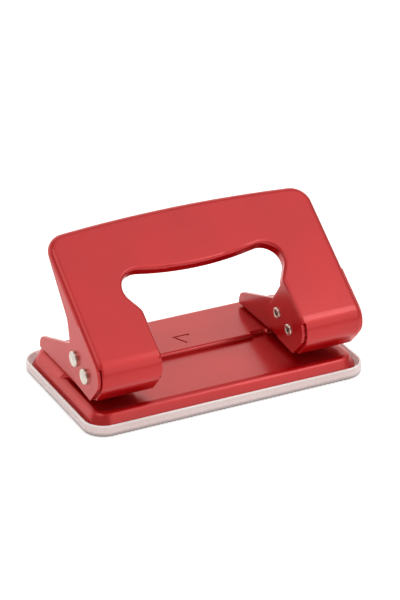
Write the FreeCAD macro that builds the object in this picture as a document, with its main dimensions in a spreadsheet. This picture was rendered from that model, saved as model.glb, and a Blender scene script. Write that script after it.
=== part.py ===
import FreeCAD, Part
import math
import os
import re

import Sketcher
from FreeCAD import Placement, Rotation, Vector

# Two-hole paper punch. +X runs along the long side, +Y to the rear, +Z up, in millimetres.
# The origin is the centre of the chip tray's underside. Paper enters from the front (-Y).

DIMENSIONS = [
    ("hole_spacing", 80.0, "distance between the two punched holes"),
    ("hole_margin", 12.0, "distance from the paper stop to the hole axis"),
    ("punch_radius", 2.75, "radius of a cutting punch"),
    ("running_gap", 0.05, "radial clearance of moving fits"),
    ("tray_length", 108.8, "outside length of the chip tray"),
    ("tray_depth", 63.8, "outside depth of the chip tray, front to rear"),
    ("tray_rim", 4.3, "height of the tray rim"),
    ("tray_wall", 0.8, "wall of the tray"),
    ("tray_floor", 1.0, "floor of the tray"),
    ("tray_corner", 8.0, "corner radius of the tray in plan"),
    ("tray_ledge", 2.3, "height of the ledge that carries the base plate"),
    ("tray_ledge_width", 2.2, "width of that ledge"),
    ("tray_edge_round", 0.9, "rounding of the tray's bottom edge"),
    ("tray_lip_round", 0.25, "rounding of the tray's rim"),
    ("base_sheet", 1.0, "sheet of the base plate"),
    ("base_length", 105.6, "length of the base plate over the foot of its skirt"),
    ("base_depth", 60.2, "depth of the base plate over the foot of its skirt"),
    ("skirt_angle", 28.0, "lean of the skirt from vertical"),
    ("skirt_corner", 8.0, "corner radius of the skirt in plan at its foot"),
    ("platform_top", 8.9, "height of the rear platform"),
    ("paper_bed", 7.1, "height of the front area that the paper lies on"),
    ("base_round", 2.8, "rounding where the skirt meets the top"),
    ("step_round", 1.2, "rounding along the top of the paper stop"),
    ("notch_inner", 24.5, "inner end of the relief notch beside a bracket"),
    ("notch_outer", 29.5, "outer end of that notch, under the bracket"),
    ("notch_depth", 1.6, "depth of the notch behind the paper stop"),
    ("stop_half", 46.5, "place sideways where the paper stop's end turns rearwards"),
    ("stop_turn", 45.0, "angle of that turn"),
    ("stop_end_round", 1.5, "radius of that turn"),
    ("notch_lip", 1.2, "corner radius at the notch's mouth"),
    ("notch_round", 0.3, "corner radius of the notch"),
    ("mark_tip", 3.2, "distance from the paper stop to the tip of the centre mark"),
    ("mark_height", 7.6, "length of the centre mark"),
    ("mark_angle", 24.6, "half of the angle at the centre mark's tip"),
    ("mark_line", 0.75, "width of the engraved line"),
    ("mark_sink", 0.3, "depth of the engraving"),
    ("bracket_width", 19.6, "outside width of a bracket"),
    ("bracket_sheet", 1.2, "sheet of a bracket"),
    ("bracket_front", 17.0, "reach of the bracket's web in front of the paper stop"),
    ("bracket_rear", 23.4, "rear end of the bracket's web"),
    ("bracket_round", 1.8, "outer bend radius of the bracket"),
    ("heel_length", 1.8, "length of the slant at the rear end of the web"),
    ("heel_lean", 1.6, "the slant's run, front to rear"),
    ("heel_height", 1.1, "height of the slant"),
    ("heel_round", 0.8, "rounding at the top of the slant"),
    ("bridge_rear", 1.8, "rear edge of the bridge between the walls"),
    ("bridge_front", 7.4, "front edge of that bridge, in front of the paper stop"),
    ("ear_top", 14.6, "height of the wall at its rear end"),
    ("ear_rear", 22.7, "rear end of the wall's top edge"),
    ("ear_round", 4.5, "rounding of the wall's rear end"),
    ("wall_slope", 0.343, "rise per length of the wall's top edge towards the front"),
    ("wall_top", 26.0, "height of the wall beside the punch"),
    ("wall_round", 4.0, "rounding of the wall's upper corners"),
    ("wall_step_ahead", 2.0, "place where the wall starts to rise level, behind the punch axis"),
    ("nose_back", 3.5, "rear end of the wall's nose, behind the pivot"),
    ("nose_reach", 5.0, "reach of the wall's nose in front of the pivot"),
    ("nose_rise", 1.2, "height of the nose above the pivot"),
    ("chin_reach", 3.6, "reach of the nose's lower corner in front of the pivot"),
    ("chin_drop", 5.7, "depth of that corner below the pivot"),
    ("chin_round", 3.5, "rounding of that corner"),
    ("collar_radius", 3.7, "outside radius of the punch guide collar"),
    ("collar_height", 1.8, "height of the guide collar above the web"),
    ("pivot_ahead", 20.8, "lever pivot axis in front of the paper stop"),
    ("pivot_height", 19.3, "height of the lever pivot axis"),
    ("drive_ahead", 12.2, "drive pin axis in front of the paper stop"),
    ("drive_height", 22.1, "height of the drive pin axis at rest"),
    ("drive_drop", 3.74, "travel of the drive pin at full press"),
    ("drive_shift", 0.24, "fore and aft travel of the drive pin to each side of the punch axis"),
    ("pin_radius", 1.6, "radius of the rivet shanks"),
    ("head_radius", 2.85, "radius of the flat rivet heads"),
    ("head_height", 1.15, "height of the flat rivet heads"),
    ("head_round", 0.45, "rounding of the flat rivet heads"),
    ("flare_radius", 2.2, "radius of the rolled inner rivet ends"),
    ("flare_height", 0.6, "height of the rolled inner rivet ends"),
    ("flare_bore", 1.0, "radius of the hollow in a rolled rivet end"),
    ("flare_bore_depth", 3.0, "depth of that hollow"),
    ("flare_round", 0.48, "outer rounding of a rolled rivet end"),
    ("flare_lip", 0.24, "inner rounding of a rolled rivet end"),
    ("lever_sheet", 1.2, "sheet of the lever"),
    ("lever_half", 51.5, "half of the lever's width"),
    ("lever_tilt", 35.9, "slope of the handle panel at rest"),
    ("panel_height", 11.84, "handle panel's outer face above the pivot axis, square to the panel"),
    ("lever_end", 49.8, "distance from the pivot to the panel's top edge at its corners"),
    ("lever_crown", 53.7, "distance from the pivot to the peak of the top edge's side lines"),
    ("crown_radius", 560.0, "radius of the arched top edge"),
    ("lever_corner", 7.5, "radius of the handle's upper corners"),
    ("lever_bend", 2.4, "outer bend radius along the handle's edges"),
    ("rim_bend", 1.2, "outer bend radius around the hand opening"),
    ("rim_depth", 4.0, "depth of the turned rim around the hand opening"),
    ("roll_radius", 8.0, "outer radius of the rolled front"),
    ("roll_lean", 0.12475, "lean of the roll's end, length per height"),
    ("roll_corner", 10.5, "meeting point of panel and roll end, in front of the pivot"),
    ("roll_end", 3.0, "end of the rolled front below the pivot"),
    ("flange_top", 2.6, "depth of the side flange at the top of the handle"),
    ("flange_tip", 4.4, "depth of the flange's front tip below the pivot"),
    ("flange_low", 10.4, "depth of the flange's lowest corner below the pivot"),
    ("flange_low_ahead", 3.1, "distance of that corner behind the pivot"),
    ("flange_low_round", 4.0, "rounding of that corner"),
    ("flange_rear", 14.0, "rear edge of the arm flanges behind the pivot"),
    ("flange_rear_low", 8.5, "depth of the rear corner below the pivot"),
    ("flange_rear_round", 3.0, "rounding of the rear corner"),
    ("flange_turn", 14.3, "place where the outer flange's rear edge turns up the handle"),
    ("flange_turn_low", 2.0, "depth of that place below the pivot"),
    ("flange_turn_round", 5.0, "radius of that turn"),
    ("flange_waist", 21.0, "place where the outer flange starts to taper"),
    ("flange_waist_height", 3.7, "height of the taper's start above the pivot"),
    ("flange_waist_round", 6.0, "rounding of the taper's start"),
    ("flange_run", 6.0, "length of the side flange with its least depth"),
    ("slit_start", 4.0, "place where the slit beside the roll starts, in front of the pivot"),
    ("slit_gap", 0.22, "width of the slit between roll and flange"),
    ("arm_inner", 27.2, "inner face of the arms"),
    ("arm_shoulder", 14.6, "place where the arm's inner edge starts to turn outwards"),
    ("arm_shoulder_round", 4.0, "radius of that turn"),
    ("lobe_corner", 38.2, "corner of the hand opening's outline before rounding, sideways"),
    ("lobe_corner_up", 33.0, "the same corner, distance from the pivot"),
    ("lobe_radius", 7.0, "radius of the hand opening's rounded ends"),
    ("bow_corner", 25.8, "peak of the bowed grip edge's side lines"),
    ("bow_radius", 120.0, "radius of the bowed grip edge"),
    ("punch_tip", 9.1, "height of the punch tip at rest"),
    ("punch_head", 25.2, "height of the punch's upper end at rest"),
    ("punch_head_round", 0.5, "rounding of the punch's upper end"),
    ("tip_hollow", 6.0, "radius of the hollow across the punch tip"),
    ("tip_hollow_depth", 0.7, "depth of that hollow"),
    ("groove_radius", 2.25, "radius of the clip groove's floor"),
    ("clip_low", 18.9, "underside of the retaining clip at rest"),
    ("clip_sheet", 0.7, "thickness of the retaining clip"),
    ("clip_radius", 4.2, "outside radius of the retaining clip"),
    ("clip_mouth", 1.9, "half width of the clip's mouth"),
    ("clip_gap", 0.02, "clearance of the clip in its groove"),
    ("washer_sheet", 0.6, "thickness of the spring washer"),
    ("washer_radius", 4.9, "outside radius of the spring washer"),
    ("spring_wire", 0.45, "wire radius of the return spring"),
    ("spring_radius", 4.3, "mean radius of the return spring"),
    ("spring_turns", 4.0, "turns of the return spring"),
    ("spacer_radius", 3.4, "outside radius of the pivot spacer"),
    ("rivet_radius", 1.6, "shank radius of the bracket rivets"),
    ("rivet_head", 2.7, "head radius of the bracket rivets"),
    ("rivet_head_height", 0.9, "head height of the bracket rivets"),
    ("rivet_head_round", 0.7, "rounding of that head"),
    ("rivet_tail_height", 0.6, "height of the closed end under the platform"),
    ("rivet_tail_round", 0.3, "rounding of the closed end"),
    ("rivet_first", 6.0, "first bracket rivet behind the paper stop"),
    ("rivet_pitch", 11.5, "distance between a bracket's rivets"),
]

# Far enough outside the object for a cut to clear it.
CLEAR = "90"
# Radius of a slot's round end, as a share of its half width: a short flat stays.
ROUND_SHARE = "0.95"

doc = FreeCAD.newDocument("TwoHolePunch")
sheet = doc.addObject("Spreadsheet::Sheet", "Dims")
for row, (alias, size, meaning) in enumerate(DIMENSIONS, start=1):
    sheet.set(f"A{row}", alias)
    sheet.set(f"B{row}", str(size))
    sheet.set(f"C{row}", meaning)
    sheet.setAlias(f"B{row}", alias)
doc.recompute()
ALIASES = {alias for alias, _, _ in DIMENSIONS}


# ---------------------------------------------------------------- expressions

def cells(text):
    """Turn the dimension names in a formula into references to the sheet's cells."""
    def reference(word):
        return "Dims." + word[0] if word[0] in ALIASES else word[0]

    return re.sub(r"[a-z_]+", reference, str(text))


def number(text):
    """Value of a formula now."""
    return float(sheet.evalExpression(cells(text)))


def bind(target, **formulas):
    """Bind properties of an object to formulas. Two underscores in a name stand for a dot."""
    for name, text in formulas.items():
        target.setExpression(name.replace("__", "."), cells(text))


# ---------------------------------------------------------------- sketches

def origin_feature(body, role):
    """Origin plane or axis of a body."""
    return next(feature for feature in body.Origin.OriginFeatures if feature.Role == role)


def new_body(name):
    """Empty body."""
    body = doc.addObject("PartDesign::Body", name)
    body.Label = name
    return body


def new_sketch(body, name, role, lift="0"):
    """Sketch on one of the body's origin planes, lifted along the plane's normal."""
    sketch = body.newObject("Sketcher::SketchObject", name)
    sketch.AttachmentSupport = [(origin_feature(body, role), "")]
    sketch.MapMode = "FlatFace"
    bind(sketch, AttachmentOffset__Base__z=lift)
    return sketch


def constrain(sketch, kind, *where):
    """Add one constraint. A last argument that is text is its formula."""
    if isinstance(where[-1], str):
        index = sketch.addConstraint(Sketcher.Constraint(kind, *where[:-1], number(where[-1])))
        sketch.setExpression(f"Constraints[{index}]", cells(where[-1]))
    else:
        sketch.addConstraint(Sketcher.Constraint(kind, *where))


def circle(sketch, across, up, radius):
    """Circle at a place given by formulas."""
    centre = Vector(number(across), number(up), 0)
    index = sketch.addGeometry(Part.Circle(centre, Vector(0, 0, 1), number(radius)), False)
    constrain(sketch, "DistanceX", index, 3, across)
    constrain(sketch, "DistanceY", index, 3, up)
    constrain(sketch, "Radius", index, radius)


def corner_arc(before, here, after, radius):
    """Arc that rounds a corner, with the points where it meets the two sides."""
    back = (before - here).normalize()
    ahead = (after - here).normalize()
    half = back.getAngle(ahead) / 2
    entry = here + back * (radius / math.tan(half))
    leave = here + ahead * (radius / math.tan(half))
    centre = here + (back + ahead).normalize() * (radius / math.sin(half))
    turns_left = (here - before).cross(after - here).z > 0
    first, last = (entry, leave) if turns_left else (leave, entry)
    start = math.atan2(first.y - centre.y, first.x - centre.x)
    end = math.atan2(last.y - centre.y, last.x - centre.x)
    arc = Part.ArcOfCircle(Part.Circle(centre, Vector(0, 0, 1), radius), start, end)
    return arc, entry, leave, turns_left


def outline(sketch, corners):
    """Closed outline. Each corner is (across, up) or (across, up, radius), all formulas."""
    count = len(corners)
    points = [Vector(number(corner[0]), number(corner[1]), 0) for corner in corners]
    arcs = []
    for place, corner in enumerate(corners):
        here = points[place]
        if len(corner) == 3:
            after = points[(place + 1) % count]
            arcs.append(corner_arc(points[place - 1], here, after, number(corner[2])))
        else:
            arcs.append((None, here, here, True))
    sides = []
    for place in range(count):
        start = arcs[place][2]
        end = arcs[(place + 1) % count][1]
        sides.append(sketch.addGeometry(Part.LineSegment(start, end), False))
    for place, corner in enumerate(corners):
        arc, _, _, turns_left = arcs[place]
        into, away = sides[place - 1], sides[place]
        if arc is None:
            constrain(sketch, "Coincident", into, 2, away, 1)
            constrain(sketch, "DistanceX", away, 1, corner[0])
            constrain(sketch, "DistanceY", away, 1, corner[1])
            continue
        bend = sketch.addGeometry(arc, False)
        peak = sketch.addGeometry(Part.Point(points[place]), True)
        first, last = (1, 2) if turns_left else (2, 1)
        constrain(sketch, "Tangent", into, 2, bend, first)
        constrain(sketch, "Tangent", bend, last, away, 1)
        constrain(sketch, "Radius", bend, corner[2])
        constrain(sketch, "PointOnObject", peak, 1, into)
        constrain(sketch, "PointOnObject", peak, 1, away)
        constrain(sketch, "DistanceX", peak, 1, corner[0])
        constrain(sketch, "DistanceY", peak, 1, corner[1])


def rectangle(sketch, half_across, half_up, radius):
    """Rounded rectangle about the sketch's origin."""
    outline(sketch, [
        (f"-({half_across})", f"-({half_up})", radius),
        (half_across, f"-({half_up})", radius),
        (half_across, half_up, radius),
        (f"-({half_across})", half_up, radius),
    ])


def block(sketch, left, low, right, high):
    """Rectangle between two corners."""
    outline(sketch, [(left, low), (right, low), (right, high), (left, high)])


# ---------------------------------------------------------------- features

def checked(feature, adds):
    """Recompute and make sure that the feature added or removed material."""
    doc.recompute()
    before = feature.BaseFeature.Shape.Volume if feature.BaseFeature else 0
    change = feature.Shape.Volume - before
    if (change > 0) != adds or change == 0:
        raise RuntimeError(f"{feature.Name} changed the volume by {change:.3f}")
    return feature


def pad(body, sketch, length, middle=False, reverse=False, lean=None):
    """Pad a sketch, to one side or about its plane."""
    feature = body.newObject("PartDesign::Pad", sketch.Name + "Pad")
    feature.Profile = sketch
    feature.SideType = "Symmetric" if middle else "One side"
    feature.Reversed = reverse
    bind(feature, Length=length)
    if lean:
        bind(feature, TaperAngle=lean)
    return checked(feature, adds=True)


def pocket(body, sketch, length, middle=False, reverse=False):
    """Pocket a sketch, to one side or about its plane."""
    feature = body.newObject("PartDesign::Pocket", sketch.Name + "Pocket")
    feature.Profile = sketch
    feature.SideType = "Symmetric" if middle else "One side"
    feature.Reversed = reverse
    bind(feature, Length=length)
    return checked(feature, adds=False)


def turn(body, sketch, role):
    """Revolve a sketch about one of the body's axes."""
    feature = body.newObject("PartDesign::Revolution", sketch.Name + "Turn")
    feature.Profile = sketch
    feature.ReferenceAxis = (origin_feature(body, role), [""])
    feature.Angle = 360
    return checked(feature, adds=True)


def round_edges(body, name, radius, wanted):
    """Fillet the edges of the body's last feature whose middle point passes the test."""
    doc.recompute()
    tip = body.Tip
    edges = [f"Edge{place}" for place, edge in enumerate(tip.Shape.Edges, start=1)
             if wanted(edge, edge.valueAt((edge.FirstParameter + edge.LastParameter) / 2))]
    feature = body.newObject("PartDesign::Fillet", name)
    feature.Base = (tip, edges)
    bind(feature, Radius=radius)
    doc.recompute()
    if not edges or not feature.Shape.isValid():
        raise RuntimeError(f"{name} failed on {len(edges)} edges")
    return feature


def near(first, second, reach=0.02):
    """Whether two lengths are the same to within a small reach."""
    return abs(first - second) < reach


def boolean(kind, name, base, tools):
    """Part boolean with clean faces: Cut takes one tool, MultiFuse and MultiCommon take several."""
    feature = doc.addObject(f"Part::{kind}", name)
    if kind == "Cut":
        feature.Base = base
        feature.Tool = tools[0]
    else:
        feature.Shapes = [base] + tools
    feature.Refine = True
    doc.recompute()
    return feature


# ---------------------------------------------------------------- chip tray

def make_chip_tray():
    """Shallow moulded tray. The foot of the base plate's skirt stands on its ledge."""
    body = new_body("chip_tray")
    shell = new_sketch(body, "TrayOutside", "XY_Plane")
    rectangle(shell, "tray_length / 2", "tray_depth / 2", "tray_corner")
    pad(body, shell, "tray_rim")
    seat = new_sketch(body, "TraySeat", "XY_Plane", "tray_ledge")
    half_length = "tray_length / 2 - tray_wall"
    half_depth = "tray_depth / 2 - tray_wall"
    rectangle(seat, half_length, half_depth, "tray_corner - tray_wall")
    pocket(body, seat, "tray_rim", reverse=True)
    well = new_sketch(body, "TrayWell", "XY_Plane", "tray_floor")
    inset = "(tray_wall + tray_ledge_width)"
    rectangle(well, f"tray_length / 2 - {inset}", f"tray_depth / 2 - {inset}", f"tray_corner - {inset}")
    pocket(body, well, "tray_rim", reverse=True)
    round_edges(body, "TrayFoot", "tray_edge_round", lambda edge, middle: near(middle.z, 0))
    round_edges(body, "TrayLip", "tray_lip_round", lambda edge, middle: near(middle.z, number("tray_rim")))
    return body


# ---------------------------------------------------------------- base plate

def base_form(name, inset):
    """Closed form of the base: skirt, platform and paper bed, all moved inwards by the inset."""
    body = new_body(name)
    foot = new_sketch(body, name + "Foot", "XY_Plane", "tray_ledge")
    foot_in = f"({inset}) / cos(skirt_angle)"
    half_length = f"base_length / 2 - {foot_in}"
    half_depth = f"base_depth / 2 - {foot_in}"
    rectangle(foot, half_length, half_depth, f"skirt_corner - {foot_in}")
    pad(body, foot, f"platform_top - tray_ledge - ({inset})", lean="-skirt_angle")

    def around_platform(edge, middle):
        """Outer edges of the platform, before the paper bed is cut."""
        return near(middle.z, number(f"platform_top - ({inset})"))

    round_edges(body, name + "PlatformCrest", f"base_round - ({inset})", around_platform)
    bed = new_sketch(body, name + "Bed", "XY_Plane", f"paper_bed - ({inset})")
    deep = f"notch_depth + ({inset})"
    corner = f"notch_round + ({inset})"
    outer, inner = f"notch_outer + ({inset})", f"notch_inner - ({inset})"
    lip = f"notch_lip - ({inset})"
    end = f"(stop_half - ({inset}) * tan(stop_turn / 2))"
    side = f"({inset}) + ({CLEAR} - {end}) * tan(stop_turn)"
    outline(bed, [
        (f"-{CLEAR}", f"-{CLEAR}"),
        (CLEAR, f"-{CLEAR}"),
        (CLEAR, side),
        (end, inset, "stop_end_round"),
        (outer, inset),
        (outer, deep, corner),
        (inner, deep, corner),
        (inner, inset, lip),
        (f"-({inner})", inset, lip),
        (f"-({inner})", deep, corner),
        (f"-({outer})", deep, corner),
        (f"-({outer})", inset),
        (f"-{end}", inset, "stop_end_round"),
        (f"-{CLEAR}", side),
    ])
    pocket(body, bed, CLEAR, reverse=True)

    def around_bed(edge, middle):
        """Outer edges of the paper bed, at the sides and in front."""
        on_bed = near(middle.z, number(f"paper_bed - ({inset})"))
        rise = f"(paper_bed - ({inset}) - tray_ledge)"
        beside = near(abs(middle.x), number(f"{half_length} - {rise} * tan(skirt_angle)"))
        before = middle.y < -number("base_depth / 2 - skirt_corner")
        return on_bed and (beside or before)

    round_edges(body, name + "BedCrest", f"base_round - ({inset})", around_bed)
    return body


def cut_mark(body):
    """Engraved triangle that points at the middle of the paper stop."""
    sketch = new_sketch(body, "CentreMark", "XY_Plane", "platform_top")
    base = "mark_tip + mark_height"
    half = "mark_height * tan(mark_angle)"
    outline(sketch, [("0", "mark_tip"), (half, base), (f"-({half})", base)])
    inner_tip = "mark_tip + mark_line / sin(mark_angle)"
    inner_base = f"{base} - mark_line"
    inner_half = f"{half} - mark_line * tan(45 + mark_angle / 2)"
    outline(sketch, [("0", inner_tip), (inner_half, inner_base), (f"-({inner_half})", inner_base)])
    pocket(body, sketch, "mark_sink")


def make_base_plate():
    """Pressed steel base: raised platform behind, paper bed in front, open underneath."""
    body = base_form("base_plate", "0")

    def on_stop(edge, middle):
        """Upper edges of the paper stop, its turned ends and its notches."""
        in_front = middle.y < number("notch_depth + notch_round")
        return near(middle.z, number("platform_top")) and in_front

    round_edges(body, "StopEdge", "step_round", on_stop)
    hollow = body.newObject("PartDesign::Boolean", "BaseHollow")
    hollow.setObjects([base_form("base_hollow", "base_sheet")])
    hollow.Type = "Cut"
    doc.recompute()
    cut_mark(body)
    dies = new_sketch(body, "DieHoles", "XY_Plane", "paper_bed")
    rivets = new_sketch(body, "RivetHoles", "XY_Plane", "platform_top")
    for side in ("-1", "1"):
        circle(dies, f"{side} * hole_spacing / 2", "-hole_margin", "punch_radius + running_gap")
        for place in ("rivet_first", "rivet_first + rivet_pitch"):
            circle(rivets, f"{side} * hole_spacing / 2", place, "rivet_radius")
    pocket(body, dies, CLEAR)
    pocket(body, rivets, CLEAR)
    return body


# ---------------------------------------------------------------- brackets

def make_bracket(name, side):
    """Folded channel: web on the platform, two walls, a bridge between them and a guide collar."""
    body = new_body(name)
    walls = new_sketch(body, name + "Profile", "YZ_Plane")
    wall_rise = "ear_top + wall_slope * (ear_rear + drive_ahead - wall_step_ahead)"
    outline(walls, [
        ("-bracket_front", "platform_top"),
        ("bracket_rear - heel_length", "platform_top"),
        ("bracket_rear - heel_length + heel_lean", "platform_top + heel_height", "heel_round"),
        ("ear_rear", "ear_top", "ear_round"),
        ("wall_step_ahead - drive_ahead", wall_rise, "wall_round"),
        ("nose_back - pivot_ahead", "wall_top", "wall_round"),
        ("-pivot_ahead - nose_reach", "pivot_height + nose_rise", "wall_round"),
        ("-pivot_ahead - chin_reach", "pivot_height - chin_drop", "chin_round"),
    ])
    pad(body, walls, "bracket_width", middle=True)
    inside = new_sketch(body, name + "Inside", "YZ_Plane")
    block(inside, f"-{CLEAR}", "platform_top + bracket_sheet", CLEAR, CLEAR)
    pocket(body, inside, "bracket_width - 2 * bracket_sheet", middle=True)

    def on_fold(edge, middle):
        """Long bottom edges of the channel."""
        outside = near(abs(middle.x), number("bracket_width / 2"))
        along = abs(edge.BoundBox.YLength) > number("bracket_front")
        return outside and along and near(middle.z, number("platform_top"))

    round_edges(body, name + "Fold", "bracket_round", on_fold)
    bridge = new_sketch(body, name + "Bridge", "YZ_Plane")
    top_here = "ear_top + wall_slope * (ear_rear - bridge_rear)"
    top_there = "ear_top + wall_slope * (ear_rear + bridge_front)"
    outline(bridge, [
        ("bridge_rear", top_here),
        ("bridge_rear", f"{top_here} - bracket_sheet"),
        ("-bridge_front", f"{top_there} - bracket_sheet"),
        ("-bridge_front", top_there),
    ])
    pad(body, bridge, "bracket_width - bracket_sheet", middle=True)
    collar = new_sketch(body, name + "Collar", "XY_Plane", "platform_top + bracket_sheet / 2")
    circle(collar, "0", "-hole_margin", "collar_radius")
    pad(body, collar, "bracket_sheet / 2 + collar_height")
    guide = new_sketch(body, name + "Guide", "XY_Plane", "platform_top + bracket_sheet + collar_height")
    circle(guide, "0", "-hole_margin", "punch_radius + running_gap")
    for place in ("rivet_first", "rivet_first + rivet_pitch"):
        circle(guide, "0", place, "rivet_radius")
    pocket(body, guide, CLEAR)
    pivot = new_sketch(body, name + "PivotHole", "YZ_Plane")
    circle(pivot, "-pivot_ahead", "pivot_height", "pin_radius + running_gap")
    pocket(body, pivot, CLEAR, middle=True)
    slot = new_sketch(body, name + "DriveSlot", "YZ_Plane")
    half = "(pin_radius + drive_shift + running_gap * 2)"
    high = f"drive_height + {half}"
    low = f"drive_height - drive_drop - {half}"
    outline(slot, [
        (f"-hole_margin - {half}", low, f"{half} * {ROUND_SHARE}"),
        (f"-hole_margin + {half}", low, f"{half} * {ROUND_SHARE}"),
        (f"-hole_margin + {half}", high, f"{half} * {ROUND_SHARE}"),
        (f"-hole_margin - {half}", high, f"{half} * {ROUND_SHARE}"),
    ])
    pocket(body, slot, CLEAR, middle=True)
    bind(body, Placement__Base__x=f"{side} * hole_spacing / 2")
    return body


def make_bracket_rivets(name, side):
    """Two rivets that hold a bracket's web to the platform."""
    rivets = []
    for place in ("rivet_first", "rivet_first + rivet_pitch"):
        body = new_body(f"{name}_{len(rivets)}")
        profile = new_sketch(body, body.Name + "Profile", "XZ_Plane")
        top = "platform_top + bracket_sheet"
        low = "platform_top - base_sheet"
        outline(profile, [
            ("0", f"{top} + rivet_head_height"),
            ("0", f"{low} - rivet_tail_height"),
            ("rivet_head", f"{low} - rivet_tail_height", "rivet_tail_round"),
            ("rivet_head", low),
            ("rivet_radius", low),
            ("rivet_radius", top),
            ("rivet_head", top),
            ("rivet_head", f"{top} + rivet_head_height", "rivet_head_round"),
        ])
        turn(body, profile, "Z_Axis")
        bind(body, Placement__Base__x=f"{side} * hole_spacing / 2", Placement__Base__y=place)
        rivets.append(body)
    group = doc.addObject("Part::Compound", name)
    group.Links = rivets
    group.Label = name
    doc.recompute()
    return group


# ---------------------------------------------------------------- lever

# The lever is drawn with its panel level: +Y runs up the handle, +Z out of its face, and the
# origin is on the pivot axis. Its placement then tilts it and moves it to the pivot.

def roll_face(inset, level):
    """Place of the rolled front's end face at a level, moved inwards by the inset."""
    square_in = f"({inset}) * sqrt(1 + roll_lean ^ 2)"
    return f"({square_in} + roll_lean * (panel_height - ({level})) - roll_corner)"


def lever_form(name, inset):
    """Closed form of the lever, all sheet faces moved inwards by the inset, open faces kept."""
    body = new_body(name)
    plan = new_sketch(body, name + "Plan", "XY_Plane", f"panel_height - ({inset})")
    half = f"(lever_half - ({inset}))"
    outline(plan, [
        (f"-{half}", f"-{CLEAR}"),
        (half, f"-{CLEAR}"),
        (half, f"lever_end - ({inset})", f"lever_corner - ({inset})"),
        ("0", f"lever_crown - ({inset})", f"crown_radius - ({inset})"),
        (f"-{half}", f"lever_end - ({inset})", f"lever_corner - ({inset})"),
    ])
    pad(body, plan, CLEAR, reverse=True)
    front = new_sketch(body, name + "Front", "YZ_Plane")
    top = f"(panel_height - ({inset}))"
    outline(front, [
        (f"-{CLEAR}", CLEAR),
        (f"-{CLEAR}", f"-{CLEAR}"),
        (roll_face(inset, f"-{CLEAR}"), f"-{CLEAR}"),
        (roll_face(inset, top), top, f"roll_radius - ({inset})"),
        ("0", top),
        ("0", CLEAR),
    ])
    pocket(body, front, "lever_half * 3", middle=True)
    return body


def make_pan():
    """Lever sheet before the hand opening: panel, rolled front, side flanges and top flange."""
    outer = lever_form("lever_outside", "0")
    rear = new_sketch(outer, "LeverRear", "YZ_Plane")
    behind_roll = roll_face("lever_sheet", "-roll_end") + " + running_gap"
    outline(rear, [
        (f"-{CLEAR}", "-roll_end"),
        (behind_roll, "-roll_end"),
        (behind_roll, "-flange_tip"),
        ("flange_low_ahead", "-flange_low", "flange_low_round"),
        ("flange_rear", "-flange_rear_low", "flange_rear_round"),
        ("flange_turn", "-flange_turn_low", "flange_turn_round"),
        ("flange_waist", "flange_waist_height", "flange_waist_round"),
        ("lever_end - flange_run", "panel_height - flange_top"),
        (CLEAR, "panel_height - flange_top"),
        (CLEAR, f"-{CLEAR}"),
        (f"-{CLEAR}", f"-{CLEAR}"),
    ])
    pocket(outer, rear, "lever_half * 3", middle=True)

    def on_crown(edge, middle):
        """Arched top edge of the panel."""
        on_face = near(middle.z, number("panel_height"))
        return near(middle.x, 0) and on_face and middle.y > number("lever_end")

    round_edges(outer, "LeverBend", "lever_bend", on_crown)
    inner = lever_form("lever_inside", "lever_sheet")

    def on_inner_crown(edge, middle):
        """The same edge on the inner form."""
        on_face = near(middle.z, number("panel_height - lever_sheet"))
        return near(middle.x, 0) and on_face and middle.y > number("lever_end - lever_sheet")

    round_edges(inner, "LeverInnerBend", "lever_bend - lever_sheet", on_inner_crown)
    return boolean("Cut", "LeverPan", outer, [inner])


def opening_outline(sketch):
    """Hand opening between the arms: bowed grip edge, rounded ends, straight arms."""
    outline(sketch, [
        ("-arm_inner", f"-{CLEAR} / 2"),
        ("arm_inner", f"-{CLEAR} / 2"),
        ("arm_inner", "arm_shoulder", "arm_shoulder_round"),
        ("lobe_corner", "lobe_corner_up", "lobe_radius"),
        ("0", "bow_corner", "bow_radius"),
        ("-lobe_corner", "lobe_corner_up", "lobe_radius"),
        ("-arm_inner", "arm_shoulder", "arm_shoulder_round"),
    ])


def make_flange(name, near_face):
    """Flat flange of an arm, one sheet thick, outwards from the given face."""
    body = new_body(name)
    sketch = new_sketch(body, name + "Outline", "YZ_Plane", near_face)
    top = "panel_height - lever_sheet"
    outline(sketch, [
        (roll_face("lever_sheet", top), top, "roll_radius - lever_sheet"),
        (roll_face("lever_sheet", "-flange_tip"), "-flange_tip"),
        ("flange_low_ahead", "-flange_low", "flange_low_round"),
        ("flange_rear", "-flange_rear_low", "flange_rear_round"),
        ("flange_rear", top),
    ])
    pad(body, sketch, "lever_sheet")
    return body


def make_pin_bores():
    """Pivot and drive pin bores through all four flanges."""
    body = new_body("pin_bores")
    bores = new_sketch(body, "PinBores", "YZ_Plane")
    back = "(pivot_ahead - drive_ahead)"
    up = "(drive_height - pivot_height)"
    circle(bores, "0", "0", "pin_radius")
    drive_along = f"{back} * cos(lever_tilt) + {up} * sin(lever_tilt)"
    drive_above = f"{up} * cos(lever_tilt) - {back} * sin(lever_tilt)"
    circle(bores, drive_along, drive_above, "pin_radius")
    pad(body, bores, "lever_half * 3", middle=True)
    return body


def front_box(name, left, right, rear):
    """Tall cut through everything in front of a line, between two places sideways."""
    body = new_body(name)
    sketch = new_sketch(body, name + "Plan", "XY_Plane")
    block(sketch, left, f"-{CLEAR}", right, rear)
    pad(body, sketch, CLEAR, middle=True)
    return body


def make_slits():
    """Room for the flat flanges and the gaps between them and the rolled front."""
    outer = "lever_half - lever_sheet - slit_gap"
    inner = "arm_inner + lever_sheet + slit_gap"
    return [
        front_box("slit_left_outer", f"-{CLEAR}", f"-({outer})", "-slit_start"),
        front_box("slit_right_outer", outer, CLEAR, "-slit_start"),
        front_box("slit_inner", f"-({inner})", inner, "-slit_start"),
    ]


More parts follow.
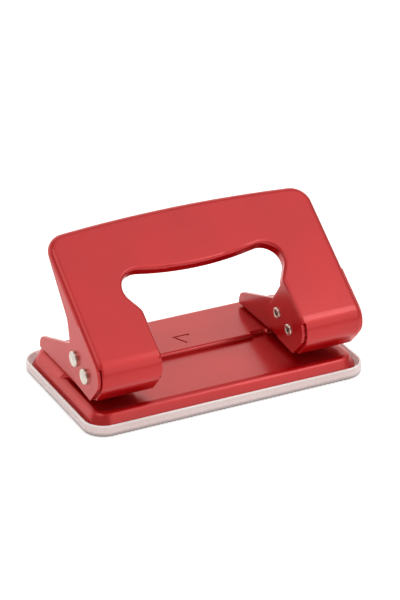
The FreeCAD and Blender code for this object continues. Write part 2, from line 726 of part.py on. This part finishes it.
def opening_rim(sketch):
    """Turned rim that follows the hand opening."""
    ring = doc.addObject("Part::Offset2D", "OpeningRing")
    ring.Source = sketch
    ring.Fill = True
    bind(ring, Value="lever_sheet")
    rim = doc.addObject("Part::Extrusion", "OpeningRim")
    rim.Base = ring
    rim.DirMode = "Custom"
    rim.Dir = Vector(0, 0, -1)
    rim.Solid = True
    bind(rim, LengthFwd="rim_depth")
    doc.recompute()
    return rim


def grip_edges(shape):
    """Upper edge around the hand opening, picked at the middle of its bow, with its radius."""
    radius = number("rim_bend")
    picked = []
    for place, edge in enumerate(shape.Edges, start=1):
        middle = edge.valueAt((edge.FirstParameter + edge.LastParameter) / 2)
        on_face = near(middle.z, number("panel_height"))
        if near(middle.x, 0) and on_face and middle.y < number("lobe_corner_up"):
            picked.append((place, radius, radius))
    return picked


def make_lever():
    """One pressed sheet: panel with a hand opening, two arms, flanges and a rolled front."""
    pan = make_pan()
    for place, slit in enumerate(make_slits()):
        pan = boolean("Cut", f"LeverSlit{place}", pan, [slit])
    flanges = [
        make_flange("flange_left_outer", "-lever_half"),
        make_flange("flange_left_inner", "-arm_inner - lever_sheet"),
        make_flange("flange_right_inner", "arm_inner"),
        make_flange("flange_right_outer", "lever_half - lever_sheet"),
    ]
    opening = new_body("opening_cut")
    sketch = new_sketch(opening, "Opening", "XY_Plane", "panel_height")
    opening_outline(sketch)
    pad(opening, sketch, CLEAR, middle=True)
    rim = opening_rim(sketch)
    front = boolean("Cut", "RimFront", rim, [front_box("rim_front", f"-{CLEAR}", CLEAR, "0")])
    joined = boolean("MultiFuse", "LeverJoined", pan, flanges + [front])
    opened = boolean("Cut", "LeverOpened", joined, [opening])
    bored = boolean("Cut", "LeverBored", opened, [make_pin_bores()])
    lever = doc.addObject("Part::Fillet", "lever")
    lever.Base = bored
    lever.Edges = grip_edges(bored.Shape)
    lever.Label = "lever"
    bind(lever, Placement__Base__y="-pivot_ahead", Placement__Base__z="pivot_height")
    lever.Placement = Placement(lever.Placement.Base, Rotation(Vector(1, 0, 0), number("lever_tilt")))
    bind(lever, Placement__Rotation__Angle="lever_tilt")
    doc.recompute()
    return lever


# ---------------------------------------------------------------- pins and spacers

def make_pin(name, side, ahead, height):
    """Rivet through both flanges of an arm: flat head outside, hollow rolled end inside."""
    body = new_body(name)
    profile = new_sketch(body, name + "Profile", "XY_Plane")
    grip = "lever_half - arm_inner"
    outline(profile, [
        ("-head_height", "0"),
        ("-head_height", "head_radius", "head_round"),
        ("0", "head_radius"),
        ("0", "pin_radius"),
        (grip, "pin_radius"),
        (grip, "flare_radius"),
        (f"{grip} + flare_height", "flare_radius", "flare_round"),
        (f"{grip} + flare_height", "flare_bore", "flare_lip"),
        (f"{grip} + flare_height - flare_bore_depth", "flare_bore"),
        (f"{grip} + flare_height - flare_bore_depth", "0"),
    ])
    turn(body, profile, "X_Axis")
    if side == "1":
        body.Placement = Placement(Vector(), Rotation(Vector(0, 0, 1), 180))
    bind(body, Placement__Base__x=f"{side} * lever_half", Placement__Base__y=f"-({ahead})",
         Placement__Base__z=height)
    return body


def make_spacer(name, side):
    """Ring on the pivot pin between a bracket's inner wall and the arm's inner flange."""
    body = new_body(name)
    sketch = new_sketch(body, name + "Ring", "YZ_Plane", "arm_inner + lever_sheet")
    circle(sketch, "0", "0", "spacer_radius")
    circle(sketch, "0", "0", "pin_radius + running_gap / 2")
    pad(body, sketch, "(hole_spacing - bracket_width) / 2 - running_gap - arm_inner - lever_sheet")
    if side == "-1":
        body.Placement = Placement(Vector(), Rotation(Vector(0, 0, 1), 180))
    bind(body, Placement__Base__y="-pivot_ahead", Placement__Base__z="pivot_height")
    return body


# ---------------------------------------------------------------- punches and springs

def place_on_punch_axis(body, side):
    """Move a piece drawn about the vertical axis to a punch's axis."""
    bind(body, Placement__Base__x=f"{side} * hole_spacing / 2", Placement__Base__y="-hole_margin")


def make_punch(name, side):
    """Cutting pin with a hollow tip, a clip groove and a cross slot for the drive pin."""
    body = new_body(name)
    profile = new_sketch(body, name + "Profile", "XZ_Plane")
    outline(profile, [
        ("0", "punch_tip"),
        ("punch_radius", "punch_tip"),
        ("punch_radius", "clip_low - clip_gap"),
        ("groove_radius", "clip_low - clip_gap"),
        ("groove_radius", "clip_low + clip_sheet + clip_gap"),
        ("punch_radius", "clip_low + clip_sheet + clip_gap"),
        ("punch_radius", "punch_head", "punch_head_round"),
        ("0", "punch_head"),
    ])
    turn(body, profile, "Z_Axis")
    slot = new_sketch(body, name + "Slot", "YZ_Plane")
    half = "(pin_radius + drive_shift + running_gap)"
    low = "drive_height - pin_radius - running_gap"
    high = "drive_height + pin_radius + running_gap"
    block(slot, f"-{half}", low, half, high)
    pocket(body, slot, CLEAR, middle=True)
    hollow = new_sketch(body, name + "Tip", "YZ_Plane")
    circle(hollow, "0", "punch_tip + tip_hollow_depth - tip_hollow", "tip_hollow")
    pocket(body, hollow, CLEAR, middle=True)
    place_on_punch_axis(body, side)
    return body


def make_washer(name, side):
    """Flat washer on top of the return spring."""
    body = new_body(name)
    ring = new_sketch(body, name + "Ring", "XY_Plane", "clip_low - washer_sheet")
    circle(ring, "0", "0", "washer_radius")
    circle(ring, "0", "0", "punch_radius + running_gap")
    pad(body, ring, "washer_sheet")
    place_on_punch_axis(body, side)
    return body


def make_clip(name, side):
    """Open ring that snaps into the punch's groove."""
    body = new_body(name)
    ring = new_sketch(body, name + "Ring", "XY_Plane", "clip_low")
    circle(ring, "0", "0", "clip_radius")
    circle(ring, "0", "0", "groove_radius + clip_gap")
    pad(body, ring, "clip_sheet")
    mouth = new_sketch(body, name + "Mouth", "XY_Plane", "clip_low")
    block(mouth, "-clip_mouth", "0", "clip_mouth", CLEAR)
    pocket(body, mouth, CLEAR, middle=True)
    place_on_punch_axis(body, side)
    return body


def make_spring(name, side):
    """Coil spring between the bracket's web and the spring washer."""
    body = new_body(name)
    wire = new_sketch(body, name + "Wire", "XZ_Plane")
    circle(wire, "spring_radius", "platform_top + bracket_sheet + spring_wire", "spring_wire")
    coil = body.newObject("PartDesign::AdditiveHelix", name + "Coil")
    coil.Profile = wire
    coil.ReferenceAxis = (origin_feature(body, "Z_Axis"), [""])
    coil.Mode = "height-turns-growth"
    room = "clip_low - washer_sheet - platform_top - bracket_sheet - 2 * spring_wire"
    bind(coil, Height=room, Turns="spring_turns")
    checked(coil, adds=True)
    place_on_punch_axis(body, side)
    return body


# ---------------------------------------------------------------- the whole punch

def make_station(word, side):
    """Every piece of one punching station."""
    return [
        make_bracket(f"bracket_{word}", side),
        make_bracket_rivets(f"bracket_rivets_{word}", side),
        make_pin(f"drive_pin_{word}", side, "drive_ahead", "drive_height"),
        make_pin(f"pivot_pin_{word}", side, "pivot_ahead", "pivot_height"),
        make_spacer(f"pivot_spacer_{word}", side),
        make_punch(f"punch_{word}", side),
        make_washer(f"spring_washer_{word}", side),
        make_clip(f"retaining_clip_{word}", side),
        make_spring(f"return_spring_{word}", side),
    ]


def check_document():
    """Stop when any object failed to recompute."""
    failed = [item.Name for item in doc.Objects if {"Invalid", "Error"} & set(item.State)]
    if failed:
        raise RuntimeError("failed objects: " + ", ".join(failed))


def export(pieces):
    """Write each piece to its own STEP file."""
    for piece in pieces:
        if piece.Shape.isNull() or not piece.Shape.isValid() or not piece.Shape.Solids:
            raise RuntimeError(f"{piece.Label} has no valid solid")
    os.makedirs("parts", exist_ok=True)
    for piece in pieces:
        piece.Shape.exportStep(f"parts/{piece.Label}.step")
        print(piece.Label, len(piece.Shape.Solids), round(piece.Shape.Volume, 1))


def build():
    """Make every piece, check the document and write the files."""
    pieces = [make_chip_tray(), make_base_plate(), make_lever()]
    for word, side in (("left", "-1"), ("right", "1")):
        pieces += make_station(word, side)
    doc.recompute()
    check_document()
    export(pieces)


build()
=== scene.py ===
import math

import bpy
from mathutils import Matrix, Vector


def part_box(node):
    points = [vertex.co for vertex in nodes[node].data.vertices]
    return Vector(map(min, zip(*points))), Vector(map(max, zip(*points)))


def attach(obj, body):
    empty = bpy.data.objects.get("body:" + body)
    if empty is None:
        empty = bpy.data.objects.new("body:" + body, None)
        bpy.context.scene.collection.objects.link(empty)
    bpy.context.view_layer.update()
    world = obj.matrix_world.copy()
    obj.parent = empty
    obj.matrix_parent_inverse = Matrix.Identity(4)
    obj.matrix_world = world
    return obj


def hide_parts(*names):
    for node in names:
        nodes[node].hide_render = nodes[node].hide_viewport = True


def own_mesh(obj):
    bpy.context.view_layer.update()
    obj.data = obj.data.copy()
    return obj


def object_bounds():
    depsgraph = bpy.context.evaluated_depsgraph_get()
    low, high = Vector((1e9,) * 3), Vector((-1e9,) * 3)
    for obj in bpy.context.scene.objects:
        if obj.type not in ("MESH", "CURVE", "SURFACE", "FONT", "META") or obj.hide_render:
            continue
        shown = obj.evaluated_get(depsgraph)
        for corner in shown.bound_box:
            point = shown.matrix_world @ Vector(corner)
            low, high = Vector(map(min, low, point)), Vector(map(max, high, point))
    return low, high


MM = 0.001

# --- camera: where the lens stands, which way it looks and how long it is -------
# Angles are in degrees, and the sensor's width and the lens in millimetres.
CAMERA_PLACE = Vector((-366.4, -738.8, 433.5)) * MM
CAMERA_AZIMUTH = -26.54
CAMERA_ELEVATION = 26.19
CAMERA_NEAR = 10 * MM
SENSOR = 36.0
LENS = 155.4

# --- finishes, as linear colours ---------------------------------------------
RED = (0.50, 0.003, 0.006)
RED_DEEP = (0.43, 0.002, 0.004)
RED_EDGE = (0.58, 0.012, 0.014)
RED_GRAZING = (1.0, 0.10, 0.10)
NICKEL = (0.74, 0.69, 0.62)
NICKEL_DULL = (0.55, 0.51, 0.46)
TOOL_STEEL = (0.58, 0.58, 0.58)
TOOL_STEEL_DULL = (0.40, 0.40, 0.41)
ZINC = (0.62, 0.64, 0.66)
ZINC_DULL = (0.42, 0.44, 0.47)
TRAY_CLEAR = (0.93, 0.76, 0.76)
TRAY_MILKY = (0.87, 0.70, 0.70)
# Painted shade: a dark grey mixed into the tray's lower part, darker towards the foot.
TRAY_FOOT_SHADE = (0.20, 0.18, 0.18)
# Painted highlight on the tray's rim, and the strength of a painted glow of the rim by emission.
TRAY_RIM_HIGHLIGHT = (1.0, 0.96, 0.95)
TRAY_RIM_PAINTED_GLOW = 0.14
TRAY_SCATTER = 4.0 * MM
# Shares of the tray's height between which the painted shade at its foot fades out and the painted
# highlight at its rim comes in.
TRAY_SHADE_SPAN = (0.08, 0.42)
TRAY_HIGHLIGHT_SPAN = (0.88, 1.0)

# --- return springs: wound coils in the room of their CAD nodes -----------------
# Radius of the wire. The CAD's thicker wire would go solid just before full press.
COIL_WIRE = 0.35 * MM
COIL_TURNS = 3.0
COIL_CLOSED_TURNS = 1.0
# Rise of a closed turn in wire radii: a little under 2, so that it lies on its neighbour.
COIL_CLOSED_RISE = 1.9
COIL_STEPS_A_TURN = 40

# --- floor: it glows for the camera, and less in what the object mirrors ----------
FLOOR_SIZE = 6.0
FLOOR_DROP = 0.05 * MM
FLOOR_PALE = (0.93, 0.93, 0.93)
FLOOR_GLOW = 0.45
FLOOR_GLOW_MIRRORED = 0.30

# --- light: the tent's brightness, and brighter patches on its wall ---------------
# Each patch is a direction, the cosines where it starts and where it is full, and how much it adds.
TENT_DIM = 0.50
TENT_GLOWS = [
    ((0.35, 0.85, 0.40), 0.66, 0.92, 0.75),
    ((-0.66, 0.74, 0.14), 0.80, 0.98, 0.95),
    ((-0.52, -0.10, 0.84), 0.93, 0.98, 1.40),
    ((0.62, -0.30, 0.72), 0.88, 0.99, 0.66),
    ((0.40, -0.79, 0.48), 0.86, 0.98, 1.00),
]
TENT_WHITE = (1.0, 0.965, 0.92, 1.0)
# Brightness of the tent's wall where the camera looks straight at it.
BACKDROP = 1.1
# Two softboxes, placed from the middle of the object: a large one above, a small one front right.
KEY_OFFSET = Vector((0.1, -0.1, 1.0))
KEY_SIZE = (0.8, 0.8)
KEY_POWER = 1.2
SIDE_OFFSET = Vector((205.0, -195.0, 310.0)) * MM
SIDE_AIM = Vector((45.0, -30.0, -10.0)) * MM
SIDE_SIZE = (0.14, 0.14)
SIDE_POWER = 0.17


class Steps:
    """The node tree of a material or world, and the steps that both are made of."""

    def __init__(self, owner, coordinates):
        owner.use_nodes = True
        self.tree = owner.node_tree
        self.place = self.node("ShaderNodeTexCoord").outputs[coordinates]

    def node(self, kind, **settings):
        """A new node with these settings."""
        made = self.tree.nodes.new(kind)
        for name, value in settings.items():
            setattr(made, name, value)
        return made

    def feed(self, socket, value):
        """Puts a number, a colour or another node's output into a socket."""
        if isinstance(value, bpy.types.NodeSocket):
            self.tree.links.new(value, socket)
        elif hasattr(value, "__len__") and len(value) == 3 and socket.type == "RGBA":
            socket.default_value = (*value, 1.0)
        else:
            socket.default_value = value

    def maths(self, operation, *values):
        """The result of a calculation on numbers or other nodes' outputs."""
        step = self.node("ShaderNodeMath", operation=operation)
        for socket, value in zip(step.inputs, values):
            self.feed(socket, value)
        return step.outputs["Value"]

    def spread(self, value, low, high, start=0.3, stop=0.7, **settings):
        """Maps start..stop of a value to low..high."""
        step = self.node("ShaderNodeMapRange", **settings)
        self.feed(step.inputs["Value"], value)
        limits = {"From Min": start, "From Max": stop, "To Min": low, "To Max": high}
        for name, limit in limits.items():
            step.inputs[name].default_value = limit
        return step.outputs["Result"]


class Finish(Steps):
    """A Principled material. With Generated coordinates, sizes are shares of the piece's box."""

    def __init__(self, name, coordinates="Object"):
        self.material = bpy.data.materials.new(name)
        super().__init__(self.material, coordinates)
        self.surface = self.tree.nodes["Principled BSDF"]

    def set(self, **inputs):
        """Sets inputs of the surface: base_color stands for Base Color."""
        names = {s.name.lower().replace(" ", "_"): s for s in self.surface.inputs}
        for name, value in inputs.items():
            self.feed(names[name], value)
        return self

    def noise(self, size, detail=3.0, stretch=(1, 1, 1)):
        """Cloudy noise whose blotches are about size wide, 0 to 1."""
        mapping = self.node("ShaderNodeMapping")
        self.feed(mapping.inputs["Vector"], self.place)
        mapping.inputs["Scale"].default_value = [1 / (size * s) for s in stretch]
        noise = self.node("ShaderNodeTexNoise")
        self.feed(noise.inputs["Vector"], mapping.outputs["Vector"])
        noise.inputs["Scale"].default_value = 1.0
        noise.inputs["Detail"].default_value = detail
        return noise.outputs["Fac"]

    def height(self):
        """The third Generated coordinate: 0 at the foot of the piece and 1 at its top."""
        parts = self.node("ShaderNodeSeparateXYZ")
        self.feed(parts.inputs["Vector"], self.place)
        return parts.outputs["Z"]

    def rings(self, width):
        """Turned rings about the X axis through the middle of the piece's own box."""
        centred = self.node("ShaderNodeVectorMath", operation="SUBTRACT")
        self.feed(centred.inputs[0], self.place)
        centred.inputs[1].default_value = (0.5, 0.5, 0.5)
        flat = self.node("ShaderNodeVectorMath", operation="MULTIPLY")
        self.feed(flat.inputs[0], centred.outputs["Vector"])
        flat.inputs[1].default_value = (0.0, 1.0, 1.0)
        radius = self.node("ShaderNodeVectorMath", operation="LENGTH")
        self.feed(radius.inputs[0], flat.outputs["Vector"])
        return self.sine(radius.outputs["Value"], width)

    def sine(self, value, width):
        """A wave of a value, 0 to 1, that repeats every width."""
        turned = self.maths("MULTIPLY", value, 2 * math.pi / width)
        wave = self.maths("SINE", turned)
        return self.maths("MULTIPLY_ADD", wave, 0.5, 0.5)

    def mix(self, share, first, second):
        """A colour that goes from first to second as share goes from 0 to 1."""
        step = self.node("ShaderNodeMix", data_type="RGBA")
        self.feed(step.inputs["Factor"], share)
        colours = [s for s in step.inputs if s.type == "RGBA"]
        self.feed(colours[0], first)
        self.feed(colours[1], second)
        return next(s for s in step.outputs if s.type == "RGBA")

    def drift(self, pattern, first, second):
        """A colour that drifts from first to second with the middle part of a pattern."""
        return self.mix(self.spread(pattern, 0, 1), first, second)

    def bump(self, height, depth):
        """A bump whose full height is depth metres."""
        step = self.node("ShaderNodeBump")
        self.feed(step.inputs["Height"], height)
        step.inputs["Distance"].default_value = depth
        self.set(normal=step.outputs["Normal"])

    def edges(self, radius):
        """1 at a sharp edge and 0 on the open surface."""
        rounded = self.node("ShaderNodeBevel", samples=4)
        rounded.inputs["Radius"].default_value = radius
        plain = self.node("ShaderNodeNewGeometry").outputs["Normal"]
        alike = self.node("ShaderNodeVectorMath", operation="DOT_PRODUCT")
        self.feed(alike.inputs[0], rounded.outputs["Normal"])
        self.feed(alike.inputs[1], plain)
        return self.spread(alike.outputs["Value"], 1.0, 0.0, start=0.75, stop=0.99)


def red_paint():
    """Satin stove enamel: slow colour drift, fine orange peel, thinner on sharp edges."""
    paint = Finish("red_enamel")
    body = paint.drift(paint.noise(size=24 * MM), RED_DEEP, RED)
    colour = paint.mix(paint.edges(radius=0.35 * MM), body, RED_EDGE)
    peel = paint.noise(size=0.9 * MM, detail=2.0)
    paint.bump(peel, depth=0.012 * MM)
    cloud = paint.noise(size=6 * MM, detail=5.0)
    return paint.set(
        base_color=colour,
        metallic=0.65,
        roughness=paint.spread(cloud, low=0.38, high=0.44),
        specular_ior_level=0.0,
        specular_tint=RED_GRAZING,
        coat_weight=1.0,
        coat_roughness=paint.spread(cloud, low=0.20, high=0.24),
    ).material


def plated_steel():
    """Turned and nickel plated rivets: warm grey with faint rings."""
    plate = Finish("nickel_plate", coordinates="Generated")
    rings = plate.rings(width=0.045)
    blotch = plate.noise(size=0.5, detail=5.0)
    colour = plate.drift(blotch, NICKEL_DULL, NICKEL)
    plate.bump(plate.maths("ADD", rings, blotch), depth=0.006 * MM)
    return plate.set(
        base_color=colour,
        metallic=1.0,
        roughness=plate.spread(blotch, low=0.20, high=0.38),
    ).material


def rivet_steel():
    """The bracket's rivets: the same plate, blotched, without turning rings."""
    plate = Finish("nickel_rivet")
    blotch = plate.noise(size=1.2 * MM, detail=5.0)
    colour = plate.drift(blotch, NICKEL_DULL, NICKEL)
    plate.bump(blotch, depth=0.02 * MM)
    return plate.set(
        base_color=colour,
        metallic=1.0,
        roughness=plate.spread(blotch, low=0.22, high=0.40),
    ).material


def ground_steel():
    """Ground tool steel: grinding lines round the cutter."""
    steel = Finish("ground_tool_steel")
    lines = steel.noise(size=0.12 * MM, detail=4.0, stretch=(40, 40, 1))
    cloud = steel.noise(size=3 * MM)
    colour = steel.drift(cloud, TOOL_STEEL_DULL, TOOL_STEEL)
    steel.bump(lines, depth=0.01 * MM)
    return steel.set(
        base_color=colour,
        metallic=1.0,
        roughness=steel.spread(lines, low=0.18, high=0.34),
    ).material


def zinc_plate():
    """Bright zinc on wire and stampings: cool grey with a fine spangle."""
    zinc = Finish("bright_zinc")
    spangle = zinc.noise(size=0.8 * MM, detail=4.0)
    colour = zinc.drift(spangle, ZINC_DULL, ZINC)
    zinc.bump(spangle, depth=0.008 * MM)
    return zinc.set(
        base_color=colour,
        metallic=1.0,
        roughness=zinc.spread(spangle, low=0.26, high=0.42),
    ).material


def frosted_plastic():
    """Frosted tray plastic: flow clouds, painted shade darker towards the foot, and a painted
    highlight with a painted glow along the rim.
    """
    plastic = Finish("frosted_tray_plastic", coordinates="Generated")
    flow = plastic.noise(size=0.25, detail=4.0, stretch=(3, 1, 1))
    frost = plastic.noise(size=0.02, stretch=(0.3, 0.5, 1))
    height = plastic.height()
    # Painted shade: the tray darkens towards its foot.
    painted_shade = plastic.spread(height, 1, 0, *TRAY_SHADE_SPAN)
    # Painted highlight along the tray's rim, which also drives a painted glow by emission.
    painted_highlight = plastic.spread(height, 0, 1, *TRAY_HIGHLIGHT_SPAN)
    colour = plastic.drift(flow, TRAY_MILKY, TRAY_CLEAR)
    colour = plastic.mix(painted_shade, colour, TRAY_FOOT_SHADE)
    colour = plastic.mix(painted_highlight, colour, TRAY_RIM_HIGHLIGHT)
    painted_glow = plastic.maths("MULTIPLY", painted_highlight, TRAY_RIM_PAINTED_GLOW)
    plastic.bump(frost, depth=0.002 * MM)
    return plastic.set(
        base_color=colour,
        emission_color=TRAY_RIM_HIGHLIGHT,
        emission_strength=painted_glow,
        subsurface_weight=0.7,
        subsurface_radius=(1.0, 0.85, 0.82),
        subsurface_scale=TRAY_SCATTER,
        transmission_weight=0.2,
        ior=1.49,
        roughness=plastic.spread(frost, low=0.18, high=0.30),
    ).material


def give(nodes, material, *starts):
    """Puts a material on every CAD node whose name begins with one of these words."""
    for name, node in nodes.items():
        if name.startswith(starts):
            node.data.materials.clear()
            node.data.materials.append(material)


def coil(name, low, high, material):
    """A wound return spring in the space of its CAD node, with closed end turns."""
    middle = (low + high) / 2
    radius = (high.x - low.x) / 2 - COIL_WIRE
    bottom = low.z + COIL_WIRE
    height = high.z - low.z - 2 * COIL_WIRE
    lift = COIL_WIRE * COIL_CLOSED_RISE
    curve = bpy.data.curves.new(name, "CURVE")
    curve.dimensions = "3D"
    curve.bevel_depth = COIL_WIRE
    curve.bevel_resolution = 5
    curve.use_fill_caps = True
    line = curve.splines.new("POLY")
    line.points.add(int((COIL_TURNS + 2 * COIL_CLOSED_TURNS) * COIL_STEPS_A_TURN))
    for i, point in enumerate(line.points):
        turn = i / COIL_STEPS_A_TURN
        first = min(turn, COIL_CLOSED_TURNS) / COIL_CLOSED_TURNS
        free = min(max(turn - COIL_CLOSED_TURNS, 0.0) / COIL_TURNS, 1.0)
        last = max(turn - COIL_CLOSED_TURNS - COIL_TURNS, 0.0) / COIL_CLOSED_TURNS
        angle = 2 * math.pi * turn
        point.co = (
            middle.x + radius * math.cos(angle),
            middle.y + radius * math.sin(angle),
            bottom + lift * first + (height - 2 * lift) * free + lift * last,
            1.0,
        )
    shape = bpy.data.objects.new(name, curve)
    bpy.context.scene.collection.objects.link(shape)
    bpy.context.view_layer.update()
    mesh = bpy.data.meshes.new_from_object(shape)
    bpy.data.objects.remove(shape)
    mesh.name = name
    mesh.materials.clear()
    mesh.materials.append(material)
    for face in mesh.polygons:
        face.use_smooth = True
    piece = bpy.data.objects.new(name, mesh)
    bpy.context.scene.collection.objects.link(piece)
    return piece


def fit_springs(material):
    """Wound return springs in the place of their CAD nodes, carried by the base."""
    for side in ("left", "right"):
        node = "return_spring_" + side
        low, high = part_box(node)
        spring = coil("spring_coil_" + side, low, high, material)
        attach(spring, "base")
        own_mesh(spring)
        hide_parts(node)


def lay_floor(low):
    """A pale studio floor under the lowest point."""
    bpy.ops.mesh.primitive_plane_add(size=FLOOR_SIZE, location=(0, 0, low.z - FLOOR_DROP))
    floor = bpy.context.object
    floor.name = "studio_floor"
    pale = Finish("pale_floor")
    pale.set(base_color=FLOOR_PALE, roughness=0.6, specular_ior_level=0.2)
    seen = pale.node("ShaderNodeLightPath").outputs["Is Camera Ray"]
    strength = pale.spread(seen, FLOOR_GLOW_MIRRORED, FLOOR_GLOW, start=0.0, stop=1.0)
    pale.set(emission_color=(1.0, 1.0, 1.0), emission_strength=strength)
    floor.data.materials.append(pale.material)


def softbox(name, place, target, size, power):
    """A rectangular area light that faces a target."""
    light = bpy.data.lights.new(name, "AREA")
    light.shape = "RECTANGLE"
    light.size = size[0]
    light.size_y = size[1]
    light.energy = power
    box = bpy.data.objects.new(name, light)
    box.location = place
    box.rotation_mode = "QUATERNION"
    box.rotation_quaternion = (target - place).to_track_quat("-Z", "Y")
    bpy.context.scene.collection.objects.link(box)


def glow(tent, direction, start, full, amount):
    """A soft patch of light on the tent's wall in one direction."""
    toward = tent.node("ShaderNodeVectorMath", operation="DOT_PRODUCT")
    tent.feed(toward.inputs[0], tent.place)
    tent.feed(toward.inputs[1], Vector(direction).normalized())
    nearness = toward.outputs["Value"]
    return tent.spread(nearness, 0.0, amount, start, full, interpolation_type="SMOOTHSTEP")


def light_studio(centre):
    """A white tent with brighter patches, and two softboxes."""
    world = bpy.data.worlds.new("white_tent")
    tent = Steps(world, "Generated")
    wall = TENT_DIM
    for patch in TENT_GLOWS:
        wall = tent.maths("ADD", wall, glow(tent, *patch))
    seen = tent.node("ShaderNodeLightPath").outputs["Is Camera Ray"]
    strength = tent.node("ShaderNodeMix")
    tent.feed(strength.inputs["Factor"], seen)
    tent.feed(strength.inputs["A"], wall)
    tent.feed(strength.inputs["B"], BACKDROP)
    background = tent.tree.nodes["Background"]
    tent.feed(background.inputs["Color"], TENT_WHITE)
    tent.feed(background.inputs["Strength"], strength.outputs["Result"])
    bpy.context.scene.world = world
    softbox("key", centre + KEY_OFFSET, centre, KEY_SIZE, KEY_POWER)
    softbox("side", centre + SIDE_OFFSET, centre + SIDE_AIM, SIDE_SIZE, SIDE_POWER)


def place_camera():
    """The camera, turned by its two angles and with its back axis away from the object."""
    azimuth = math.radians(CAMERA_AZIMUTH)
    elevation = math.radians(CAMERA_ELEVATION)
    back = Vector(
        (
            math.sin(azimuth) * math.cos(elevation),
            -math.cos(azimuth) * math.cos(elevation),
            math.sin(elevation),
        )
    )
    right = Vector((math.cos(azimuth), math.sin(azimuth), 0.0))
    up = back.cross(right)
    data = bpy.data.cameras.new("camera")
    data.sensor_width = SENSOR
    data.lens = LENS
    data.clip_start = CAMERA_NEAR
    camera = bpy.data.objects.new("camera", data)
    bpy.context.scene.collection.objects.link(camera)
    rotation = Matrix((right, up, back)).transposed().to_4x4()
    camera.matrix_world = Matrix.Translation(CAMERA_PLACE) @ rotation
    bpy.context.scene.camera = camera


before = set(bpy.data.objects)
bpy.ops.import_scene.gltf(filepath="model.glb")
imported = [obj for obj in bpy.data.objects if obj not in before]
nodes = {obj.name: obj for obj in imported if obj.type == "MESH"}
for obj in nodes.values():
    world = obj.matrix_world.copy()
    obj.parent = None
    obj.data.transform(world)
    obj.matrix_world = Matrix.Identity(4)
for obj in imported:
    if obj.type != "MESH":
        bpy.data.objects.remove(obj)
cad_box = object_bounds()

give(nodes, red_paint(), "lever", "base_plate", "bracket_left", "bracket_right")
give(nodes, plated_steel(), "drive_pin", "pivot_pin", "pivot_spacer")
give(nodes, rivet_steel(), "bracket_rivets")
give(nodes, ground_steel(), "punch")
zinc = zinc_plate()
give(nodes, zinc, "spring_washer", "retaining_clip", "return_spring")
give(nodes, frosted_plastic(), "chip_tray")
fit_springs(zinc)

centre = (cad_box[0] + cad_box[1]) / 2
lay_floor(cad_box[0])
light_studio(centre)
place_camera()
bpy.context.scene.view_settings.view_transform = "Standard"
